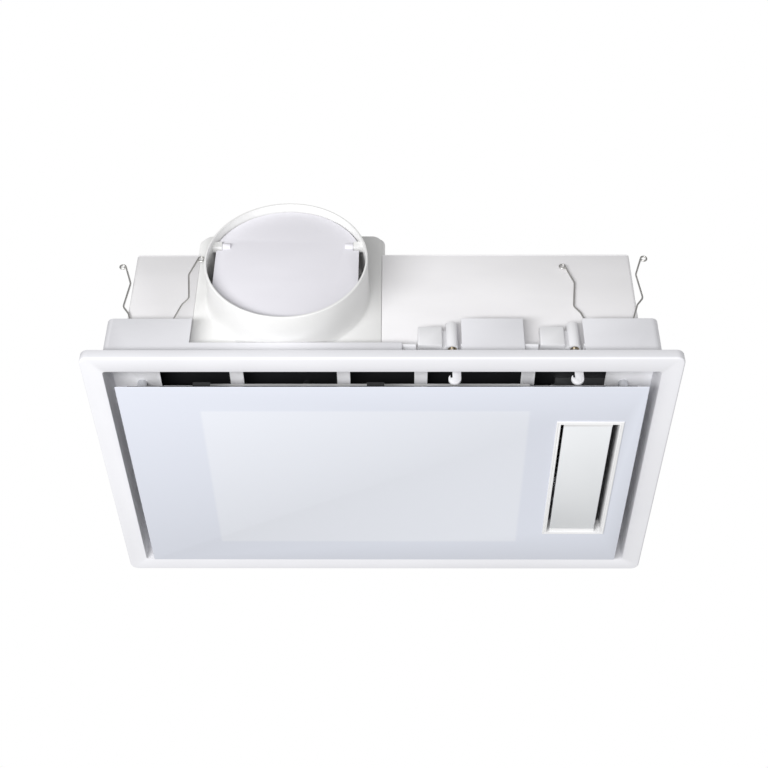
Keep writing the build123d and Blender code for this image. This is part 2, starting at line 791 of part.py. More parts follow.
# Heater rotor: a drum of forward-curved blades in three bays between discs
with BuildPart() as heater_rotor:
    for disc_number in range(4):
        disc_y = -drum_length / 2 + 1 + disc_number * (drum_length - 2) / 3
        disc_bore = drum_radius - drum_ring - 1 if disc_number in (1, 2) else shaft_radius
        with BuildSketch(Plane.XZ.offset(disc_y)) as disc:
            with Locations((drum_x, drum_z)):
                Circle(drum_radius)
                Circle(disc_bore, mode=Mode.SUBTRACT)
        extrude(amount=1, both=True)
    with BuildSketch(mode=Mode.PRIVATE) as drum_blade:
        make_face(fan_blade(drum_radius - drum_ring, drum_radius - 1, 8, blade_thickness))
    with BuildSketch(Plane.XZ.offset(1 - drum_length / 2)) as drum_blades_ring:
        with Locations((drum_x, drum_z)):
            with PolarLocations(0, drum_blades):
                add(drum_blade.sketch_local)
    extrude(amount=drum_length - 2)
finish(heater_rotor, "heater_rotor")

heater_shaft_ends = (-casing_end, casing_end + 18)
with BuildPart() as heater_shaft:
    with Locations(along_y(drum_x, sum(heater_shaft_ends) / 2, drum_z)):
        Cylinder(shaft_radius, heater_shaft_ends[1] - heater_shaft_ends[0])
    chamfer(heater_shaft.edges().filter_by(GeomType.CIRCLE), 0.5)
finish(heater_shaft, "heater_shaft")

with BuildPart() as rotor_bush:
    with Locations(along_y(drum_x, -casing_end, drum_z)):
        with Locations((0, 0, -1)):
            Cylinder(9, 2)
        with Locations((0, 0, 2)):
            Cylinder(6, 4)
        Cylinder(shaft_radius + running_gap, 12, mode=Mode.SUBTRACT)
finish(rotor_bush, "rotor_bush")

with BuildPart() as heater_motor:
    with Locations(along_y(drum_x, casing_end, drum_z)):
        with Locations((0, 0, heater_motor_length / 2)):
            Cylinder(heater_motor_radius, heater_motor_length)
        with Locations((0, 0, heater_motor_length + 2)):
            Cylinder(8, 4)
        with Locations((0, 0, motor_ear_thickness / 2)):
            with PolarLocations(heater_motor_radius + 3, 3, start_angle=30):
                Cylinder(motor_ear_radius - 1, motor_ear_thickness)
        with Locations((0, 0, 10)):
            Cylinder(shaft_radius + running_gap, 22, mode=Mode.SUBTRACT)
finish(heater_motor, "heater_motor")

# Heating element: bars along the duct with a pack of cross fins, resting on the duct's ledge
element_high = element_low + element_height
element_x = outlet_width / 2 - fit_gap
element_y = outlet_length / 2 - fit_gap
with BuildPart() as ptc_element:
    for hand in (-1, 1):
        block_y = hand * (element_y - element_end / 2)
        span_box(
            (outlet_x - element_x, block_y - element_end / 2, element_low),
            (outlet_x + element_x, block_y + element_end / 2, element_high),
        )
    with Locations((outlet_x, 0, (element_low + element_high) / 2)):
        with GridLocations((2 * element_x - element_bar) / 3, 1, 4, 1):
            Box(element_bar, 2 * element_y, element_height)
        fin_count = int(2 * (element_y - element_end) / fin_pitch)
        with GridLocations(1, fin_pitch, 1, fin_count):
            Box(2 * element_x - 1, fin_thickness, element_height - 2)
finish(ptc_element, "ptc_element")

# Thermal cut-out: a round thermostat with two tabs, on a strap against the duct
cutout_x = outlet_x - duct_outer_width / 2
with BuildPart() as thermal_cutout:
    cutout_z = element_low + cutout_radius / 2
    span_box(
        (cutout_x - 1, -2 * cutout_radius, cutout_z - cutout_radius),
        (cutout_x, 2 * cutout_radius, cutout_z + cutout_radius),
    )
    with Locations(Plane((cutout_x - 4, 0, cutout_z), x_dir=(0, 1, 0), z_dir=(1, 0, 0))):
        Cylinder(cutout_radius - 0.5, 6)
    for hand in (-1, 1):
        span_box(
            (cutout_x - 12, 3 * hand - 1, cutout_z - 0.5),
            (cutout_x - 5, 3 * hand + 1, cutout_z + 0.5),
        )
finish(thermal_cutout, "thermal_cutout")

# Outlet duct: straight rectangular sleeve from the heater down to the outlet frame
with BuildPart() as outlet_duct:
    with BuildSketch(Plane.XY.offset(collar_top)):
        with Locations((outlet_x, 0)):
            Rectangle(duct_outer_width, duct_outer_length)
            Rectangle(outlet_width, outlet_length, mode=Mode.SUBTRACT)
    extrude(amount=casing_bottom - collar_top)
    with BuildSketch(Plane.XY.offset(base_top)):
        with Locations((outlet_x, 0)):
            Rectangle(duct_outer_width + 10, duct_outer_length + 10)
            Rectangle(duct_outer_width - 1, duct_outer_length - 1, mode=Mode.SUBTRACT)
    extrude(amount=1.6)
    with BuildSketch(Plane.XY.offset(element_low)):
        with Locations((outlet_x, 0)):
            Rectangle(duct_outer_width - 1, duct_outer_length - 1)
            Rectangle(outlet_width - 2.4, outlet_length - 2.4, mode=Mode.SUBTRACT)
    extrude(amount=-1.6)
finish(outlet_duct, "outlet_duct")

# Outlet frame: rim under the glass with a groove round it, collar, and the vane's bearings
vane_pin_end = duct_outer_length / 2 - 0.2
flange_low = panel_underside - frame_lip
with BuildPart() as outlet_frame:
    with BuildSketch(Plane.XY.offset(panel_underside)):
        with Locations((outlet_x, 0)):
            Rectangle(frame_width, frame_length)
    extrude(amount=-frame_lip)
    chamfer(outlet_frame.faces().sort_by(Axis.Z)[0].edges(), 0.4)
    with BuildSketch(Plane.XY.offset(flange_low)):
        with Locations((outlet_x, 0)):
            Rectangle(frame_width - 3.4, frame_length - 3.4)
            Rectangle(frame_width - 5, frame_length - 5, mode=Mode.SUBTRACT)
    extrude(amount=0.5, mode=Mode.SUBTRACT)
    with BuildSketch(Plane.XY.offset(panel_underside)):
        with Locations((outlet_x, 0)):
            Rectangle(duct_outer_width, duct_outer_length)
    extrude(amount=collar_top - panel_underside)
    with BuildSketch(Plane.XY.offset(flange_low)):
        with Locations((outlet_x, 0)):
            Rectangle(outlet_width, outlet_length)
    extrude(amount=collar_top - flange_low, mode=Mode.SUBTRACT)
    for hand in (-1, 1):
        ledge_ends = sorted((hand * (outlet_length / 2 - ledge_depth), hand * outlet_length / 2))
        span_box(
            (vane_x - vane_width / 2, ledge_ends[0], panel_underside),
            (vane_x + vane_width / 2, ledge_ends[1], panel_underside + 2.5),
        )
    with Locations(along_y(vane_x, 0, vane_pivot_z)):
        Cylinder(vane_pin + running_gap, duct_outer_length + 10, mode=Mode.SUBTRACT)
finish(outlet_frame, "outlet_frame")

# Outlet vane: long flat blade with an ear and a pin at each end, the rear pin longer
vane_low = panel_underside + 0.2
ear_y = vane_length / 2
with BuildPart() as outlet_vane:
    span_box(
        (vane_x - vane_width / 2, -ear_y, vane_low),
        (vane_x + vane_width / 2, ear_y, vane_low + vane_face),
    )
    fillet(outlet_vane.faces().sort_by(Axis.Z)[0].edges().filter_by(Axis.Y), 0.8)
    span_box((vane_x - 1, -ear_y, vane_low + 1), (vane_x + 1, ear_y, vane_low + 4.5))
    for hand in (-1, 1):
        with BuildSketch(Plane.XZ.offset(hand * (ear_y - 1.5))) as ear:
            with BuildLine():
                Polyline(
                    (vane_x - 3.5, vane_pivot_z),
                    (vane_x - 9, vane_low + 1),
                    (vane_x + 9, vane_low + 1),
                    (vane_x + 3.5, vane_pivot_z),
                )
                ThreePointArc(
                    (vane_x + 3.5, vane_pivot_z),
                    (vane_x, vane_pivot_z + 3.5),
                    (vane_x - 3.5, vane_pivot_z),
                )
            make_face()
        extrude(amount=1.5, both=True)
    for start, stop in ((-vane_pin_end, 1 - ear_y), (ear_y - 1, vane_pin_end + 8)):
        with Locations(along_y(vane_x, (start + stop) / 2, vane_pivot_z)):
            Cylinder(vane_pin, stop - start)
finish(outlet_vane, "outlet_vane")

# Vane motor: small geared motor whose shaft sits off its centre
vane_motor_z = vane_pivot_z + 8
with BuildPart() as vane_motor:
    with Locations(along_y(vane_x, duct_outer_length / 2 + 9.5, vane_motor_z)):
        Cylinder(14, 19)
    with BuildSketch(along_y(vane_x, duct_outer_length / 2, vane_motor_z)) as vane_ears:
        SlotCenterToCenter(34, 7)
        with GridLocations(34, 1, 2, 1):
            Circle(1.8, mode=Mode.SUBTRACT)
    extrude(amount=2)
    with Locations(along_y(vane_x, duct_outer_length / 2, vane_pivot_z)):
        Cylinder(vane_pin + running_gap, 20, mode=Mode.SUBTRACT)
finish(vane_motor, "vane_motor")

# Glass panel: flat sheet with fine ground edges and one rectangular cut-out for the outlet
with BuildPart() as glass_panel:
    with BuildSketch(Plane.XY.offset(panel_underside)):
        RectangleRounded(panel_width, panel_depth, panel_corner)
        with Locations((outlet_x, 0)):
            Rectangle(
                duct_outer_width + 2 * fit_gap, duct_outer_length + 2 * fit_gap, mode=Mode.SUBTRACT
            )
    extrude(amount=panel_thickness)
    chamfer(glass_panel.faces().sort_by(Axis.Z)[0].outer_wire().edges(), 0.4)
finish(glass_panel, "glass_panel")

# Panel carrier: folded sheet behind the glass with windows for the light and the outlet
light_middle = sum(light_x) / 2
light_width = light_x[1] - light_x[0]
carrier_width = panel_width - 2 * carrier_inset
carrier_depth = panel_depth - 2 * carrier_inset
with BuildPart() as panel_carrier:
    with BuildSketch(Plane.XY.offset(panel_top)):
        Rectangle(carrier_width, carrier_depth)
    extrude(amount=carrier_rim)
    with BuildSketch(Plane.XY.offset(carrier_top)):
        Rectangle(carrier_width - 2 * carrier_sheet, carrier_depth - 2 * carrier_sheet)
    extrude(amount=carrier_rim, mode=Mode.SUBTRACT)
    with BuildSketch(Plane.XY.offset(panel_top)):
        with Locations((light_middle, 0)):
            Rectangle(light_width + 2 * fit_gap, 2 * light_half_depth + 2 * fit_gap)
        with Locations((outlet_x, motor_room / 2)):
            Rectangle(duct_outer_width + 6, duct_outer_length + 6 + motor_room)
    extrude(amount=carrier_sheet, mode=Mode.SUBTRACT)
    # Catch plates that stand up from the front rim
    for x in catch_x:
        span_box(
            (x - catch_width / 2, -carrier_depth / 2, panel_top),
            (x + catch_width / 2, -carrier_depth / 2 + carrier_sheet, catch_top),
        )
finish(panel_carrier, "panel_carrier")

with BuildPart() as light_diffuser:
    with BuildSketch(Plane.XY.offset(panel_top)):
        with Locations((light_middle, 0)):
            Rectangle(light_width, 2 * light_half_depth)
    extrude(amount=2)
finish(light_diffuser, "light_diffuser")

# Light box: shallow tray over the diffuser, open below
with BuildPart() as light_box:
    for outset, roof in ((3, light_box_top), (3 - light_box_wall, light_box_top - light_box_wall)):
        with BuildSketch(Plane.XY.offset(carrier_top)) as shell:
            with Locations((light_middle, 0)):
                RectangleRounded(
                    light_width + 2 * outset, 2 * light_half_depth + 2 * outset, outset
                )
        hollow = Mode.ADD if roof == light_box_top else Mode.SUBTRACT
        extrude(amount=roof - carrier_top, mode=hollow)
finish(light_box, "light_box")

board_top = light_box_top - light_box_wall
with BuildPart() as led_board:
    span_box(
        (light_x[0] + 8, -light_half_depth + 8, board_top - 1.6),
        (light_x[1] - 8, light_half_depth - 8, board_top),
    )
    with Locations((light_middle, 0, board_top - 2)):
        column_pitch = light_width / led_columns
        row_pitch = 2 * light_half_depth / led_rows
        with GridLocations(column_pitch, row_pitch, led_columns, led_rows):
            Box(3.5, 2.8, 0.8)
finish(led_board, "led_board")

with BuildPart() as panel_standoffs:
    left_x = standoff_inset - panel_width / 2
    right_x = panel_width / 2 - standoff_inset
    standoff_places = (
        (left_x, -standoff_y),
        (left_x, standoff_y),
        (right_x, -standoff_y),
        (right_x, standoff_back_y),
    )
    with Locations(*[(x, y, (carrier_top + base_underside) / 2) for x, y in standoff_places]):
        Cylinder(standoff_radius, base_underside - carrier_top)
        Cylinder(1.6, base_underside - carrier_top, mode=Mode.SUBTRACT)
finish(panel_standoffs, "panel_standoffs")

# Driver of the light, controls of the fans and the supply's terminals, all on the deck
with BuildPart() as led_driver:
    driver_top = deck_top + driver_height
    span_box(
        (driver_x[0], deck_back - driver_depth, deck_top), (driver_x[1], deck_back, driver_top)
    )
    chamfer(led_driver.edges().filter_by(Axis.Z), 2)
    for end in (driver_x[0] + 4, driver_x[1] - 10):
        span_box(
            (end, deck_back - driver_depth + 4, driver_top), (end + 6, deck_back - 4, driver_top + 2)
        )
finish(led_driver, "led_driver")

with BuildPart() as control_module:
    control_y = control_front - deck_depth / 2
    control_top = deck_top + control_height
    span_box(
        (control_x[0], control_y, deck_top), (control_x[1], control_y + control_depth, control_top)
    )
    chamfer(control_module.edges().filter_by(Axis.Z), 2)
    with Locations((sum(control_x) / 2, control_y + control_depth / 2, control_top + 1)):
        with GridLocations(14, 1, 7, 1):
            Box(9, 12, 2)
finish(control_module, "control_module")

with BuildPart() as terminal_block:
    terminal_y = deck_back - terminal_depth / 2
    terminal_top = deck_top + terminal_height
    span_box(
        (terminal_x[0], terminal_y - terminal_depth / 2, deck_top),
        (terminal_x[1], terminal_y + terminal_depth / 2, deck_top + terminal_foot),
    )
    span_box(
        (terminal_x[0] + 6, terminal_y - terminal_depth / 4, deck_top + terminal_foot),
        (terminal_x[1] - 6, terminal_y + terminal_depth / 4, terminal_top),
    )
    with Locations((sum(terminal_x) / 2, terminal_y, terminal_top)):
        with GridLocations(terminal_pitch, 1, terminal_ways, 1):
            Box(5.6, 9, 12, mode=Mode.SUBTRACT)
finish(terminal_block, "terminal_block")

# Cable gland through the rear wall of the housing, with its nut inside
gland_wall_y = housing_depth / 2
with BuildPart() as cable_gland:
    with BuildSketch(along_y(gland_x, gland_wall_y, gland_z)):
        RegularPolygon(gland_hexagon, 6, major_radius=False)
    extrude(amount=5)
    with Locations(along_y(gland_x, gland_wall_y + 8, gland_z)):
        Cylinder(gland_hexagon - 1.5, 8)
    chamfer(cable_gland.faces().sort_by(Axis.Y)[-1].edges(), 2)
    with Locations(along_y(gland_x, gland_wall_y - 6, gland_z)):
        Cylinder(gland_thread, 12)
        Cylinder(gland_bore, 60, mode=Mode.SUBTRACT)
finish(cable_gland, "cable_gland")

with BuildPart() as gland_nut:
    with BuildSketch(along_y(gland_x, gland_wall_y - housing_wall, gland_z)):
        RegularPolygon(gland_hexagon, 6, major_radius=False)
        Circle(gland_thread + 0.1, mode=Mode.SUBTRACT)
    extrude(amount=-5)
finish(gland_nut, "gland_nut")

with BuildPart() as base_screws:
    for x in deck_screw_x:
        for y in (-deck_screw_y, deck_screw_y):
            with Locations((x, y, base_underside - deck_screw_head_height / 2)):
                Cylinder(deck_screw_head, deck_screw_head_height)
            with Locations((x, y, base_underside + deck_screw_length / 2)):
                Cylinder(deck_screw_hole - 0.3, deck_screw_length)
finish(base_screws, "base_screws")


def write_copies(template, name, places):
    """Write a piece once for each place, given as x, y and a turn about the vertical."""
    for number, (x, y, turn) in enumerate(places, 1):
        with BuildPart() as copy:
            with Locations(Location((x, y, 0), (0, 0, turn))):
                add(template.part)
        finish(copy, f"{name}_{number}")


# Ceiling clamps: an arm that swings out over the board and is drawn down by its screw
clamp_axes = []
for side in (0, 1):
    facing = 1 - 2 * side
    for place in clamp_places:
        clamp_axes.append((facing * place, facing * clamp_y, 180 * side))

with BuildPart() as clamp_arm:
    with Locations((0, 0, (hub_low + hub_high) / 2)):
        Cylinder(hub_radius, hub_high - hub_low)
    chamfer(clamp_arm.faces().sort_by(Axis.Z)[-1].edges(), 0.6)
    span_box((-arm_far, arm_back - arm_thickness, arm_low), (-arm_near, arm_back, arm_high))
    fillet(clamp_arm.edges().filter_by(Axis.Z).group_by(Axis.X)[0], 2)
    span_box((-arm_near - 1, arm_back - 3, arm_low), (-hub_radius + 3, arm_back, arm_high))
    with Locations((0, 0, (hub_low + hub_high) / 2)):
        Cylinder(screw_radius + fit_gap, hub_high - hub_low, mode=Mode.SUBTRACT)
    with Locations((0, 0, hub_low + insert_length / 2)):
        Cylinder(insert_radius + running_gap, insert_length, mode=Mode.SUBTRACT)
write_copies(clamp_arm, "clamp_arm", clamp_axes)

with BuildPart() as clamp_insert:
    with BuildSketch(Plane.XY.offset(hub_low)):
        Circle(insert_radius)
        Circle(screw_radius + running_gap, mode=Mode.SUBTRACT)
    extrude(amount=insert_length)
write_copies(clamp_insert, "clamp_insert", clamp_axes)

with BuildPart() as clamp_screw:
    with Locations((0, 0, screw_tip / 2)):
        Cylinder(screw_radius, screw_tip)
    chamfer(clamp_screw.faces().sort_by(Axis.Z)[-1].edges(), 0.8)
    with Locations((0, 0, -screw_head_height / 2)):
        Cylinder(screw_head_radius, screw_head_height)
    chamfer(clamp_screw.faces().sort_by(Axis.Z)[0].edges(), 0.8)
    for turn in (0, 90):
        with Locations(Location((0, 0, -screw_head_height), (0, 0, turn))):
            Box(5, 1.1, 2.4, mode=Mode.SUBTRACT)
write_copies(clamp_screw, "clamp_screw", clamp_axes)

# Pins that the torsion springs turn on, between the tray's wall and the housing
spring_axes = [(x, spring_y) for x in spring_places]
spring_axes += [(-x, -spring_y) for x in spring_places]
with BuildPart() as spring_pins:
    pin_length = upper_inner_depth / 2 - housing_depth / 2
    pin_middle = (upper_inner_depth / 2 + housing_depth / 2) / 2
    for x, y in spring_axes:
        with Locations(along_y(x, pin_middle if y > 0 else -pin_middle, spring_z)):
            Cylinder(coil_radius - spring_wire / 2 - coil_gap, pin_length)
finish(spring_pins, "spring_pins")

# Torsion springs: each is two halves of one wire form, a coil on the pin and a bent arm that
# ends in an eye. The coil's quarter turns go in pairs, whose tilts cancel, and half a quarter
# turn's rise lays the wire flat in the arm's own plane before the arm leaves the coil.
arm_plane = -(coil_turns * coil_pitch / 2 + coil_pitch / 2 + 2.35)
slope = coil_pitch / (2 * pi * coil_radius)
first_x, first_z = spring_arm[0]
leave_angle = atan2(first_z, first_x) - acos(coil_radius / sqrt(first_x**2 + first_z**2))
quarter_turns = int(4 * coil_turns)


def coil_point(quarters, y):
    """The coil's point so many quarter turns before the wire leaves it, at a height along Y."""
    angle = leave_angle - quarters * pi / 2
    return Vector(coil_radius * cos(angle), y, spring_z + coil_radius * sin(angle))


with BuildPart() as spring_half:
    with BuildLine() as wire_path:
        flat_rise = slope * coil_radius
        y = arm_plane + flat_rise + quarter_turns * coil_pitch / 4
        here = coil_point(quarter_turns + 1, y)
        start_angle = leave_angle - (quarter_turns + 1) * pi / 2
        heading = Vector(-sin(start_angle), -slope, cos(start_angle))
        for quarters in range(quarter_turns, -1, -1):
            y -= coil_pitch / 4 if quarters else flat_rise
            there = coil_point(quarters, y)
            arc = TangentArc(here, there, tangent=heading)
            heading = arc % 1
            here = there
        corners = [Vector(x, arm_plane, spring_z + z) for x, z in spring_arm]
        arm = FilletPolyline(here, *corners, radius=spring_bend)
        out = (arm % 1).cross(Vector(0, -1, 0)).normalized()
        over = arm @ 1 + out * 2 * eye_radius
        top = TangentArc(arm @ 1, over, tangent=arm % 1)
        TangentArc(over, arm @ 1 + (out - arm % 1) * eye_radius, tangent=top % 1)
    wire = wire_path.wire()
    wire_start = Plane(origin=wire @ 0, z_dir=wire % 0)
    with BuildSketch(wire_start):
        RegularPolygon(spring_wire / 2, wire_sides)
    sweep()

samples = [wire.position_at(step / 400) for step in range(401)]
apart = int(400 * 4 * spring_wire / wire.length)
least = min(
    (samples[low] - samples[high]).length - spring_wire
    for low in range(401)
    for high in range(low + apart, 401)
)
print(f"spring wire {wire.length:.1f} mm long, least gap to itself {least:.2f} mm")

spring_halves = []
for index, (x, y) in enumerate(spring_axes):
    rear = 0 if y < 0 else 180
    spring_halves.append((x, y, rear))
    spring_halves.append((x, y, rear + 180))
write_copies(spring_half, "spring_arm", spring_halves)
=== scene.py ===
import bmesh
import bpy
from math import acos, atan2, cos, pi, radians, sin, sqrt, tan
from mathutils import Matrix, Vector


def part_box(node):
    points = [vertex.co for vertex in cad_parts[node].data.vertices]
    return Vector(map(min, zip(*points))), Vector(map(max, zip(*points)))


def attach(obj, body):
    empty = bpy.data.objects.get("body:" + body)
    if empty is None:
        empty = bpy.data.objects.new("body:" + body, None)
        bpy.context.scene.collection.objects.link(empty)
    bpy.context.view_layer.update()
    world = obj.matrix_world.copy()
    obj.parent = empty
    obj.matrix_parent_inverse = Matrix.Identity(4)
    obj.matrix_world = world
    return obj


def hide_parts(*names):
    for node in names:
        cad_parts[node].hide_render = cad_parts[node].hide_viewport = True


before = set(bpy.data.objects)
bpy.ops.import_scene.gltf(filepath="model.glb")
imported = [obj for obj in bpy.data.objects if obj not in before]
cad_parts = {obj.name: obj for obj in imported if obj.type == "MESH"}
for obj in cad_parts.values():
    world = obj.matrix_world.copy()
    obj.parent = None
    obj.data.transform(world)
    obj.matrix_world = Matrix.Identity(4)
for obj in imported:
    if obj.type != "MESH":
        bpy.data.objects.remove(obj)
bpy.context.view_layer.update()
scene = bpy.context.scene
scene.view_settings.view_transform = "Standard"

# Camera: a long lens about 1.4 m from the unit, below the ceiling and in front, looking up at it
# along its short side.
camera_data = bpy.data.cameras.new("camera")
camera_data.sensor_width = 36
camera_data.lens = 66.21
camera_data.clip_end = 30
camera = bpy.data.objects.new("camera", camera_data)
scene.collection.objects.link(camera)
yaw = radians(-0.712)
pitch = radians(40.615)
roll = radians(0.444)
forward = Vector((sin(yaw) * cos(pitch), cos(yaw) * cos(pitch), sin(pitch)))
level = Vector((cos(yaw), -sin(yaw), 0))
upright = level.cross(forward)
right = level * cos(roll) + upright * sin(roll)
up = upright * cos(roll) - level * sin(roll)
camera.matrix_world = Matrix((right, up, -forward)).transposed().to_4x4()
camera.location = (0.01385, -1.08679, -0.82891)
scene.camera = camera

# Studio: white surroundings, brighter to the camera than to the unit, a wide bank of soft light
# from below and in front, which reaches in over the panel, and an even light from above and
# behind.
white = (1.0, 1.0, 1.0, 1.0)
world = bpy.data.worlds.new("studio")
world.use_nodes = True
scene.world = world
world_tree = world.node_tree
glow = world_tree.nodes["Background"]
glow.inputs["Color"].default_value = white
glow.inputs["Strength"].default_value = 0.30
backdrop = world_tree.nodes.new("ShaderNodeBackground")
backdrop.inputs["Color"].default_value = white
backdrop.inputs["Strength"].default_value = 1.0
seen = world_tree.nodes.new("ShaderNodeLightPath")
either = world_tree.nodes.new("ShaderNodeMixShader")
world_tree.links.new(seen.outputs["Is Camera Ray"], either.inputs[0])
world_tree.links.new(glow.outputs[0], either.inputs[1])
world_tree.links.new(backdrop.outputs[0], either.inputs[2])
world_tree.links.new(either.outputs[0], world_tree.nodes["World Output"].inputs[0])


def turn_light(light, place, aim):
    """Puts a light at a place and turns it towards another."""
    light.location = place
    light.rotation_euler = (Vector(aim) - Vector(place)).to_track_quat("-Z", "Y").to_euler()


bank_data = bpy.data.lights.new("front_bank", "AREA")
bank_data.shape = "RECTANGLE"
bank_data.size = 2.2
bank_data.size_y = 0.5
bank_data.energy = 56
bank = bpy.data.objects.new("front_bank", bank_data)
scene.collection.objects.link(bank)
turn_light(bank, (-0.95, -1.66, -1.46), (-0.8, 0, 0.05))

top_data = bpy.data.lights.new("top_light", "SUN")
top_data.angle = radians(70)
top_data.energy = 1.15
top_light = bpy.data.objects.new("top_light", top_data)
scene.collection.objects.link(top_light)
turn_light(top_light, (1.2, 1.6, 3.0), (0, 0, 0))


# Floor: a plain sheet, painted pale and flat, under the unit and far enough below to stay out of
# the picture.
class Wire:
    """A socket of a finish. Sums, differences and products with it add Math nodes."""

    def __init__(self, finish, socket):
        self.finish = finish
        self.socket = socket

    def math(self, operation, first, second=0.0):
        return self.finish.node("Math", {"operation": operation}, {0: first, 1: second})

    def __add__(self, other):
        return self.math("ADD", self, other)

    def __radd__(self, other):
        return self.math("ADD", other, self)

    def __sub__(self, other):
        return self.math("SUBTRACT", self, other)

    def __rsub__(self, other):
        return self.math("SUBTRACT", other, self)

    def __mul__(self, other):
        return self.math("MULTIPLY", self, other)

    def __rmul__(self, other):
        return self.math("MULTIPLY", other, self)

    def __abs__(self):
        return self.math("ABSOLUTE", self)


class Finish:
    """A material under way. node() adds any node, and set() feeds the shader's sockets."""

    def __init__(self, name):
        self.material = bpy.data.materials.new(name)
        self.material.use_nodes = True
        self.tree = self.material.node_tree
        self.shader = self.tree.nodes["Principled BSDF"]
        self.place = self.node("TexCoord", out="Object")

    def feed(self, socket, value):
        if isinstance(value, Wire):
            self.tree.links.new(value.socket, socket)
        else:
            socket.default_value = value

    def node(self, kind, settings=None, sockets=None, out=0):
        node = self.tree.nodes.new("ShaderNode" + kind)
        for name, value in (settings or {}).items():
            setattr(node, name, value)
        for name, value in (sockets or {}).items():
            self.feed(node.inputs[name], value)
        return Wire(self, node.outputs[out])

    def set(self, **sockets):
        for name, value in sockets.items():
            self.feed(self.shader.inputs[name.replace("_", " ")], value)

    def noise(self, scale, detail, stretch=(1, 1, 1)):
        place = self.node("Mapping", {}, {"Vector": self.place, "Scale": stretch})
        return self.node("TexNoise", {}, {"Vector": place, "Scale": scale, "Detail": detail})

    def blend(self, first, second, factor):
        """A colour between two, through a Mix node whose colours are its sockets 6 and 7."""
        sockets = {0: factor, 6: first, 7: second}
        return self.node("Mix", {"data_type": "RGBA"}, sockets, out=2)

    def ramp(self, wire, low, high):
        """0 below low, 1 above high, and smooth between them."""
        settings = {"interpolation_type": "SMOOTHSTEP"}
        return self.node("MapRange", settings, {"Value": wire, "From Min": low, "From Max": high})

    def bump(self, height, depth):
        """A normal raised by a height of 0 to 1, times a depth in metres."""
        sockets = {"Strength": 1.0, "Distance": depth, "Height": height}
        return self.node("Bump", {}, sockets, out="Normal")


def moulded(name, colour, roughness, grain=0.00002, mottle=0.02, shine=0.5):
    """Injection-moulded plastic: slow flow marks in its tone and a fine spark-eroded grain."""
    flow_scale = 9
    flow_stretch = (1, 1, 2.5)
    grit_scale = 1400
    flow_in_gloss = 0.06
    grit_in_gloss = 0.10
    finish = Finish(name)
    dark = tuple(channel * (1 - mottle) for channel in colour) + (1,)
    light = tuple(min(1, channel * (1 + mottle / 2)) for channel in colour) + (1,)
    flow = finish.noise(flow_scale, 3, flow_stretch)
    grit = finish.noise(grit_scale, 2)
    finish.set(
        Base_Color=finish.blend(dark, light, finish.ramp(flow, 0.35, 0.65)),
        Roughness=roughness + flow_in_gloss * (flow - 0.5) + grit_in_gloss * (grit - 0.5),
        Normal=finish.bump(grit, grain),
        Specular_IOR_Level=shine,
    )
    return finish


floor_half = 12
floor_height = -2.6
floor_finish = moulded("floor_paint", (0.86, 0.86, 0.85), 0.7, grain=0.0001)
floor_mesh = bpy.data.meshes.new("floor")
floor_form = bmesh.new()
bmesh.ops.create_grid(floor_form, x_segments=1, y_segments=1, size=floor_half)
bmesh.ops.translate(floor_form, vec=(0, 0, floor_height), verts=floor_form.verts[:])
floor_form.to_mesh(floor_mesh)
floor_form.free()
floor_mesh.materials.append(floor_finish.material)
floor = bpy.data.objects.new("floor", floor_mesh)
scene.collection.objects.link(floor)


# Bezel and tray: one moulding in satin white plastic. Its rim laps the ceiling from below, and
# its walls pass up through the cut-out and carry the clamps and springs.
def eased(node, body, finish, width):
    """A copy of a CAD node with its sharp edges eased by a small radius, as a mould leaves them."""
    merge_distance = 1e-6
    flat_angle = radians(0.4)
    sharp_angle = radians(32)
    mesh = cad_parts[node].data.copy()
    form = bmesh.new()
    form.from_mesh(mesh)
    bmesh.ops.remove_doubles(form, verts=form.verts[:], dist=merge_distance)
    bmesh.ops.dissolve_limit(
        form,
        angle_limit=flat_angle,
        verts=form.verts[:],
        edges=form.edges[:],
        delimit={"NORMAL"},
    )
    for face in form.faces:
        face.smooth = True
        face.material_index = 0
    form.to_mesh(mesh)
    form.free()
    mesh.materials.clear()
    mesh.materials.append(finish.material)
    piece = bpy.data.objects.new(node + "_shell", mesh)
    scene.collection.objects.link(piece)
    edge = piece.modifiers.new("edges", "BEVEL")
    edge.width = width
    edge.segments = 2
    edge.limit_method = "ANGLE"
    edge.angle_limit = sharp_angle
    edge.harden_normals = True
    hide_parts(node)
    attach(piece, body)
    return piece


bezel_finish = moulded("bezel_white", (0.82, 0.82, 0.855), 0.55, shine=0.3)
eased("bezel_tray", "casing", bezel_finish, 0.0004)

# Base plate: the recess's ceiling with two rows of slots, and the panel's hooks on it. Both get a
# brighter matt white than the tray as painted light for the shaded recess, and the plate fits
# between the tray's walls.
recess_brightened_finish = moulded("base_white_painted_light", (0.95, 0.95, 0.98), 0.6)
eased("base_plate", "casing", recess_brightened_finish, 0.0003)
eased("panel_hooks", "casing", recess_brightened_finish, 0.0004)


# Blower deck: an inverted pan above the slots, moulded in one piece and screwed to the base plate.
# Its near-black colour is painted shade, which makes the slots look black.
def dress(nodes, finish):
    """Gives the CAD nodes' own objects a finish, in each of their slots."""
    for node in nodes:
        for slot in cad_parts[node].material_slots:
            slot.material = finish.material


# The deck's near-black colour is painted shade for the slots.
dress(["blower_deck"], moulded("deck_painted_shade", (0.010, 0.010, 0.012), 0.6, mottle=0.2))

# Housing: the deep box above the ceiling and its beaded lid, both moulded in satin white plastic
# and standing on the base plate.
housing_finish = moulded("housing_white", (0.87, 0.86, 0.875), 0.46)
eased("housing_shell", "casing", housing_finish, 0.0005)
eased("housing_lid", "casing", housing_finish, 0.0005)

# Duct spigot: plate and collar in one satin white moulding, slid into the housing's front. The
# duct is pushed over the collar.
spigot_finish = moulded("spigot_white", (0.84, 0.84, 0.835), 0.40)
eased("duct_spigot", "casing", spigot_finish, 0.0004)

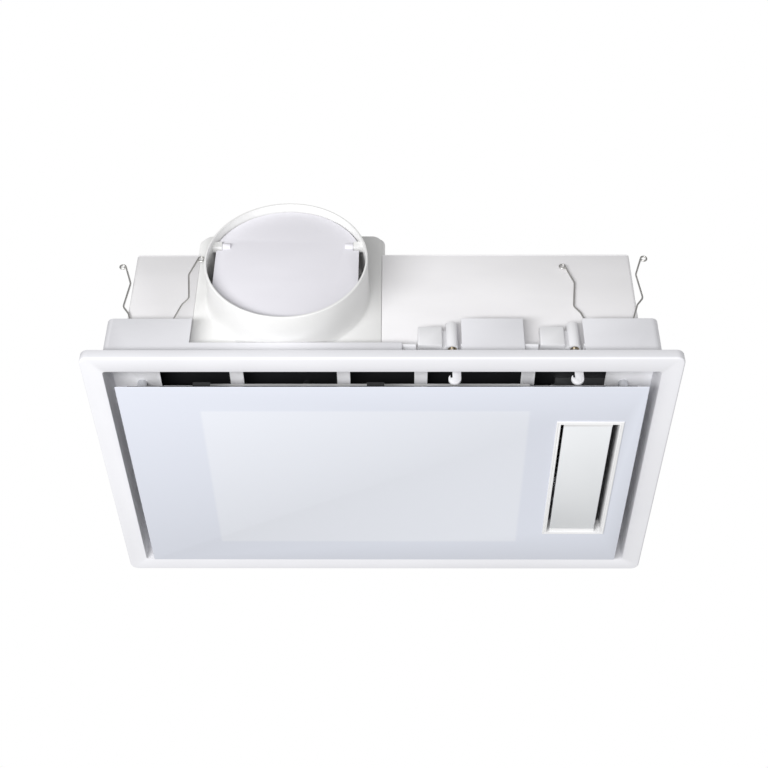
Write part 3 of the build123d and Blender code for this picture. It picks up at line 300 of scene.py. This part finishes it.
# Damper: a thin flap that keeps outside air out. It is moulded in a slightly violet white and
# hangs on two pins inside the collar.
flap_finish = moulded("flap_white", (0.79, 0.78, 0.83), 0.45)
eased("damper_flap", "damper", flap_finish, 0.0003)

# Exhaust blower: a moulded scroll and its cover behind the damper, with an inlet ring and an
# impeller moulded in black plastic. The scroll and cover are tan as painted shade for the shadowed
# inside seen beside the flap.
scroll_painted_shade_finish = moulded("scroll_tan_painted_shade", (0.42, 0.33, 0.17), 0.5, mottle=0.1)
dress(["exhaust_scroll", "scroll_cover"], scroll_painted_shade_finish)
wheel_finish = moulded("wheel_black", (0.03, 0.03, 0.031), 0.5, mottle=0.2)
dress(["inlet_ring", "exhaust_impeller"], wheel_finish)


# Motors, shafts and fixings: three grey motor cans of drawn steel, and the blowers' shafts, the
# base screws and the springs' pins of bright ground steel.
def metal(name, colour, roughness):
    """Bare or plated metal: fine marks in its surface and a slightly uneven shine."""
    marks_scale = 900
    cloud_scale = 35
    dark_share = 0.86
    marks_in_gloss = 0.14
    cloud_in_gloss = 0.08
    marks_depth = 0.00001
    finish = Finish(name)
    marks = finish.noise(marks_scale, 3)
    cloud = finish.noise(cloud_scale, 2)
    dark = tuple(channel * dark_share for channel in colour) + (1,)
    finish.set(
        Base_Color=finish.blend(dark, tuple(colour) + (1,), finish.ramp(cloud, 0.3, 0.7)),
        Metallic=1.0,
        Roughness=roughness + marks_in_gloss * (marks - 0.5) + cloud_in_gloss * (cloud - 0.5),
        Normal=finish.bump(marks, marks_depth),
    )
    return finish


motor_finish = metal("motor_can", (0.42, 0.43, 0.45), 0.38)
dress(["exhaust_motor", "heater_motor", "vane_motor"], motor_finish)
steel_finish = metal("ground_steel", (0.62, 0.62, 0.64), 0.28)
dress(["exhaust_shaft", "heater_shaft", "base_screws", "spring_pins"], steel_finish)

# Heater: casing, duct and the cut-out's cap of zinc-coated sheet, a drum and a finned element of
# pressed aluminium, and the drum's bush of black rubber.
zinc_finish = metal("zinc_sheet", (0.60, 0.61, 0.63), 0.42)
dress(["heater_scroll", "outlet_duct", "thermal_cutout"], zinc_finish)
aluminium_finish = metal("pressed_aluminium", (0.78, 0.79, 0.80), 0.36)
dress(["heater_rotor", "ptc_element"], aluminium_finish)
dress(["rotor_bush"], moulded("bush_rubber", (0.03, 0.03, 0.03), 0.7))

# Outlet frame and vane: white mouldings, the frame set through the panel with a semi-gloss face
# and the vane a little greyer, on pivots in its opening.
frame_finish = moulded("frame_white", (0.85, 0.85, 0.86), 0.30)
eased("outlet_frame", "casing", frame_finish, 0.00025)
vane_finish = moulded("vane_white", (0.755, 0.77, 0.79), 0.4)
eased("outlet_vane", "vane", vane_finish, 0.0004)

# Glass panel: clear glass backed with cool white, slightly lighter over the light box. Its edges
# are ground back towards the top, so that none shows from below.
glass_finish = Finish("backed_glass")
along = glass_finish.node("SeparateXYZ", {}, {0: glass_finish.place}, out=0)
across = glass_finish.node("SeparateXYZ", {}, {0: glass_finish.place}, out=1)
light_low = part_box("light_diffuser")[0]
light_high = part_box("light_diffuser")[1]
light_middle = (light_low[0] + light_high[0]) / 2
light_half = (light_high[0] - light_low[0]) / 2
light_depth = light_high[1]
light_fade = 0.002
off_side = glass_finish.ramp(
    abs(along - light_middle), light_half - light_fade, light_half + light_fade
)
off_end = glass_finish.ramp(abs(across), light_depth - light_fade, light_depth + light_fade)
lit = (1 - off_side) * (1 - off_end)
cloud = glass_finish.noise(6, 2)
backing = glass_finish.blend((0.67, 0.695, 0.775, 1), (0.68, 0.705, 0.785, 1), cloud)
glass_finish.set(
    Base_Color=glass_finish.blend(backing, (0.735, 0.755, 0.815, 1), lit),
    Roughness=0.05 + 0.03 * cloud,
    Coat_Weight=0.35,
    Coat_Roughness=0.02,
)
panel = eased("glass_panel", "casing", glass_finish, 0.0003)
panel_low = Vector(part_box("glass_panel")[0])
panel_high = Vector(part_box("glass_panel")[1])
edge_lean = 0.0026
edge_reach = 0.001
for vertex in panel.data.vertices:
    if vertex.co.z > (panel_low.z + panel_high.z) / 2:
        for axis in (0, 1):
            if vertex.co[axis] < panel_low[axis] + edge_reach:
                vertex.co[axis] += edge_lean
            elif vertex.co[axis] > panel_high[axis] - edge_reach:
                vertex.co[axis] -= edge_lean

# Behind the glass: a carrier sheet on zinc-plated standoffs below the base plate, coloured
# near-black as painted shade in the gap round the panel. A light box painted white sits in it, with
# a board of lamps and an opal diffuser.
dress(["panel_carrier"], moulded("carrier_painted_shade", (0.04, 0.04, 0.042), 0.5, mottle=0.1))
dress(["light_box"], moulded("light_box_paint", (0.80, 0.80, 0.80), 0.5))
dress(["light_diffuser"], moulded("opal_diffuser", (0.90, 0.89, 0.85), 0.45))
dress(["led_board"], moulded("lamp_board", (0.80, 0.82, 0.80), 0.4))
dress(["panel_standoffs"], metal("zinc_plate", (0.72, 0.73, 0.75), 0.34))

# Electrical pieces: driver, control module and terminals in pale grey plastic cases on the deck,
# and a grey nylon gland that its nut holds in the rear wall.
case_finish = moulded("case_plastic", (0.70, 0.70, 0.69), 0.5)
dress(["led_driver", "control_module", "terminal_block"], case_finish)
gland_finish = moulded("gland_nylon", (0.42, 0.43, 0.44), 0.5)
dress(["gland_nut"], gland_finish)
eased("cable_gland", "casing", gland_finish, 0.0004)

# Ceiling clamps: a moulded nylon arm on a long steel screw, with a turned brass insert that takes
# the thread and draws the arm down on the ceiling board.
clamp_finish = moulded("clamp_nylon", (0.81, 0.81, 0.83), 0.45)
brass_finish = metal("turned_brass", (0.60, 0.50, 0.34), 0.4)
for number in range(1, 5):
    eased(f"clamp_arm_{number}", f"clamp_arm_{number}", clamp_finish, 0.0003)
    dress([f"clamp_insert_{number}"], brass_finish)
    dress([f"clamp_screw_{number}"], steel_finish)

# Torsion springs: bright drawn wire, wound one and three quarter turns round its pin and bent to
# an arm that ends in a closed eye. Each spring is two such halves, which meet in the coil.
spring_finish = metal("spring_wire", (0.74, 0.73, 0.71), 0.36)
wire_radius = 0.0009
coil_radius = 0.0055
coil_pitch = 0.0026
coil_quarters = 7
bend_radius = 0.007
straight_handle = 0.002
eye_radius = 0.0027
eye_end = 0.7
eye_lean = 0.3
arm_plane = -0.0056
arm_corners = ((16.5, 14), (25.4, 42), (31.3, 50.5), (28.1, 81), (35.4, 103.5))
pin_plane = 0.142550
pin_height = 0.030
spring_places = ((-0.210, -1), (0.209, -1), (0.210, 1), (-0.209, 1))


def arc_handle(angle, radius):
    """How far a Bezier handle reaches along the tangent of an arc of that angle."""
    return 4 / 3 * tan(angle / 4) * radius


def spring_knots():
    """Places, headings and handle lengths along one half, from the coil out to the eye."""
    corners = [Vector((x / 1000, arm_plane, z / 1000)) for x, z in arm_corners]
    first = corners[0]
    leave = atan2(first.z, first.x) - acos(coil_radius / sqrt(first.x**2 + first.z**2))
    rise = coil_pitch / (2 * pi)
    quarter = arc_handle(pi / 2, coil_radius)
    knots = []
    for step in range(coil_quarters, -1, -1):
        angle = leave - step * pi / 2
        y = arm_plane + (rise + (step - 1) * coil_pitch / 4 if step else 0)
        place = Vector((coil_radius * cos(angle), y, coil_radius * sin(angle)))
        heading = Vector((-sin(angle), -rise / coil_radius if step else 0, cos(angle)))
        knots.append((place, heading, quarter, quarter if step else straight_handle))
    here = knots[-1][0]
    for corner, after in zip(corners, corners[1:]):
        came = (corner - here).normalized()
        goes = (after - corner).normalized()
        turn = came.angle(goes)
        reach = bend_radius * tan(turn / 2)
        handle = arc_handle(turn, bend_radius)
        knots.append((corner - came * reach, came, straight_handle, handle))
        knots.append((corner + goes * reach, goes, handle, straight_handle))
        here = corner
    end = corners[-1]
    ahead = (end - here).normalized()
    out = Vector((ahead.z, 0, -ahead.x))
    lean = Vector((0, wire_radius * eye_lean, 0))
    handle = arc_handle(pi / 2, eye_radius)
    last = arc_handle(eye_end * pi / 2, eye_radius)
    knots.append((end, ahead, straight_handle, handle))
    for step in (1, 2, 3, 3 + eye_end):
        angle = step * pi / 2
        sideways = out * eye_radius * (1 - cos(angle))
        place = end + sideways + ahead * eye_radius * sin(angle) + lean * step
        heading = out * sin(angle) + ahead * cos(angle)
        knots.append((place, heading, handle if step <= 3 else last, handle if step < 3 else last))
    return knots


number = 0
for x, rear in spring_places:
    for facing in (-rear, rear):
        number += 1
        node = f"spring_arm_{number}"
        path = bpy.data.curves.new(f"spring_wire_{number}", "CURVE")
        path.dimensions = "3D"
        path.resolution_u = 6
        path.bevel_depth = wire_radius
        path.bevel_resolution = 3
        path.use_fill_caps = True
        line = path.splines.new("BEZIER")
        knots = spring_knots()
        line.bezier_points.add(len(knots) - 1)
        axis = Vector((x, rear * pin_plane, pin_height))
        for knot, (place, heading, before, after) in zip(line.bezier_points, knots):
            knot.handle_left_type = knot.handle_right_type = "FREE"
            for name, point in (
                ("co", place),
                ("handle_left", place - heading * before),
                ("handle_right", place + heading * after),
            ):
                setattr(knot, name, axis + Vector((facing * point.x, facing * point.y, point.z)))
        path.materials.append(spring_finish.material)
        piece = bpy.data.objects.new(f"spring_wire_{number}", path)
        scene.collection.objects.link(piece)
        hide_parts(node)
        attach(piece, node)
